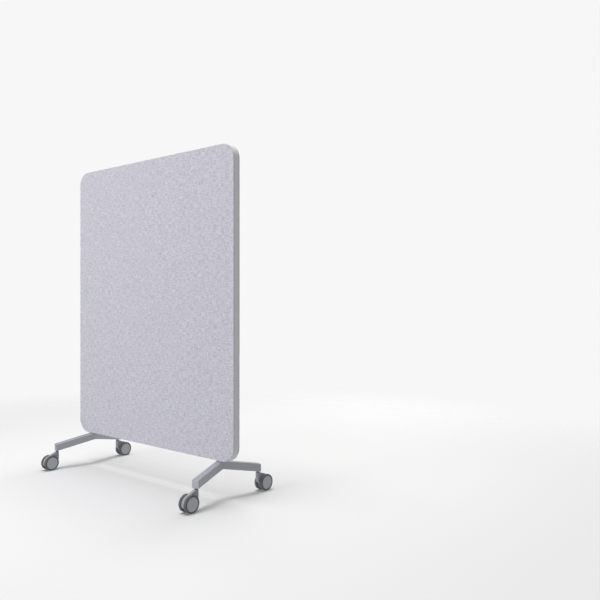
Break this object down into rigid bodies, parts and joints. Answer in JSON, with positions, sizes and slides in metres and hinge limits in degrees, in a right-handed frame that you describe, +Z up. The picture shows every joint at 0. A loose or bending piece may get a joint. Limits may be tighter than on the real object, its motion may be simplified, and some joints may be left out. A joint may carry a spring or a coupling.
{
  "type": "mobile partition wall",
  "caption": "Wheeled acoustic room divider: grey fabric panel with a cream writing board on its back, on splayed steel feet with swivel casters.",
  "frame": {"origin": "on the floor under the middle of the panel", "axes": "+X along the panel, +Y out of the face with the writing board, -Y out of the all-fabric face, +Z up"},
  "size_m": [1.2, 0.5256, 1.5703],
  "materials": {
    "melange_fabric": "light grey melange woven upholstery, matt",
    "recycled_felt": "pressed recycled fibre felt",
    "fibreboard": "raw medium density fibreboard",
    "spruce": "planed softwood, untreated",
    "grey_edging": "grey satin edging, extruded",
    "zinced_steel": "zinc plated, dull",
    "cream_board": "cream satin enamel, writable",
    "silver_paint": "silver grey powder coat, fine",
    "dark_steel": "blackened steel",
    "housing_grey": "moulded grey nylon, satin",
    "hub_grey": "moulded grey polypropylene",
    "tyre_grey": "dark grey soft tread, matt"
  },
  "bodies": {
    "panel_and_feet": {"front_fabric_pad": "melange_fabric", "front_board": "fibreboard", "rear_board": "fibreboard", "bottom_rail": "spruce", "top_rail": "spruce", "left_stile": "spruce", "right_stile": "spruce", "mid_rail": "spruce", "absorber_lower": "recycled_felt", "absorber_upper": "recycled_felt", "writing_board": "cream_board", "board_backing": "zinced_steel", "rear_fabric_pad": "melange_fabric", "edge_band": "grey_edging", "mount_plate_left": "zinced_steel", "mount_screw_left_1": "zinced_steel", "mount_screw_left_2": "zinced_steel", "foot_left": "silver_paint", "arm_cap_front_left": "silver_paint", "arm_cap_rear_left": "silver_paint", "foot_bolt_left_1": "zinced_steel", "foot_bolt_left_2": "zinced_steel", "stem_front_left": "dark_steel", "stem_rear_left": "dark_steel", "mount_plate_right": "zinced_steel", "mount_screw_right_1": "zinced_steel", "mount_screw_right_2": "zinced_steel", "foot_right": "silver_paint", "arm_cap_front_right": "silver_paint", "arm_cap_rear_right": "silver_paint", "foot_bolt_right_1": "zinced_steel", "foot_bolt_right_2": "zinced_steel", "stem_front_right": "dark_steel", "stem_rear_right": "dark_steel"},
    "caster_front_left": {"housing_front_left": "housing_grey", "axle_front_left": "zinced_steel"},
    "wheel_front_left_l": {"hub_front_left_l": "hub_grey", "tyre_front_left_l": "tyre_grey"},
    "wheel_front_left_r": {"hub_front_left_r": "hub_grey", "tyre_front_left_r": "tyre_grey"},
    "caster_front_right": {"housing_front_right": "housing_grey", "axle_front_right": "zinced_steel"},
    "wheel_front_right_l": {"hub_front_right_l": "hub_grey", "tyre_front_right_l": "tyre_grey"},
    "wheel_front_right_r": {"hub_front_right_r": "hub_grey", "tyre_front_right_r": "tyre_grey"},
    "caster_rear_left": {"housing_rear_left": "housing_grey", "axle_rear_left": "zinced_steel"},
    "wheel_rear_left_l": {"hub_rear_left_l": "hub_grey", "tyre_rear_left_l": "tyre_grey"},
    "wheel_rear_left_r": {"hub_rear_left_r": "hub_grey", "tyre_rear_left_r": "tyre_grey"},
    "caster_rear_right": {"housing_rear_right": "housing_grey", "axle_rear_right": "zinced_steel"},
    "wheel_rear_right_l": {"hub_rear_right_l": "hub_grey", "tyre_rear_right_l": "tyre_grey"},
    "wheel_rear_right_r": {"hub_rear_right_r": "hub_grey", "tyre_rear_right_r": "tyre_grey"}
  },
  "joints": [
    {"name": "swivel_front_left", "type": "hinge", "parent": "panel_and_feet", "child": "caster_front_left", "pos_m": [-0.54875, -0.1848, 0.089], "axis": [0, 0, 1], "continuous": true},
    {"name": "roll_front_left_l", "type": "hinge", "parent": "caster_front_left", "child": "wheel_front_left_l", "pos_m": [-0.54875, -0.2253, 0.0375], "axis": [1, 0, 0], "continuous": true},
    {"name": "roll_front_left_r", "type": "hinge", "parent": "caster_front_left", "child": "wheel_front_left_r", "pos_m": [-0.54875, -0.2253, 0.0375], "axis": [1, 0, 0], "continuous": true},
    {"name": "swivel_front_right", "type": "hinge", "parent": "panel_and_feet", "child": "caster_front_right", "pos_m": [0.54875, -0.1848, 0.089], "axis": [0, 0, 1], "continuous": true},
    {"name": "roll_front_right_l", "type": "hinge", "parent": "caster_front_right", "child": "wheel_front_right_l", "pos_m": [0.54875, -0.2253, 0.0375], "axis": [1, 0, 0], "continuous": true},
    {"name": "roll_front_right_r", "type": "hinge", "parent": "caster_front_right", "child": "wheel_front_right_r", "pos_m": [0.54875, -0.2253, 0.0375], "axis": [1, 0, 0], "continuous": true},
    {"name": "swivel_rear_left", "type": "hinge", "parent": "panel_and_feet", "child": "caster_rear_left", "pos_m": [-0.54875, 0.1848, 0.089], "axis": [0, 0, 1], "continuous": true},
    {"name": "roll_rear_left_l", "type": "hinge", "parent": "caster_rear_left", "child": "wheel_rear_left_l", "pos_m": [-0.54875, 0.2253, 0.0375], "axis": [1, 0, 0], "continuous": true},
    {"name": "roll_rear_left_r", "type": "hinge", "parent": "caster_rear_left", "child": "wheel_rear_left_r", "pos_m": [-0.54875, 0.2253, 0.0375], "axis": [1, 0, 0], "continuous": true},
    {"name": "swivel_rear_right", "type": "hinge", "parent": "panel_and_feet", "child": "caster_rear_right", "pos_m": [0.54875, 0.1848, 0.089], "axis": [0, 0, 1], "continuous": true},
    {"name": "roll_rear_right_l", "type": "hinge", "parent": "caster_rear_right", "child": "wheel_rear_right_l", "pos_m": [0.54875, 0.2253, 0.0375], "axis": [1, 0, 0], "continuous": true},
    {"name": "roll_rear_right_r", "type": "hinge", "parent": "caster_rear_right", "child": "wheel_rear_right_r", "pos_m": [0.54875, 0.2253, 0.0375], "axis": [1, 0, 0], "continuous": true}
  ]
}
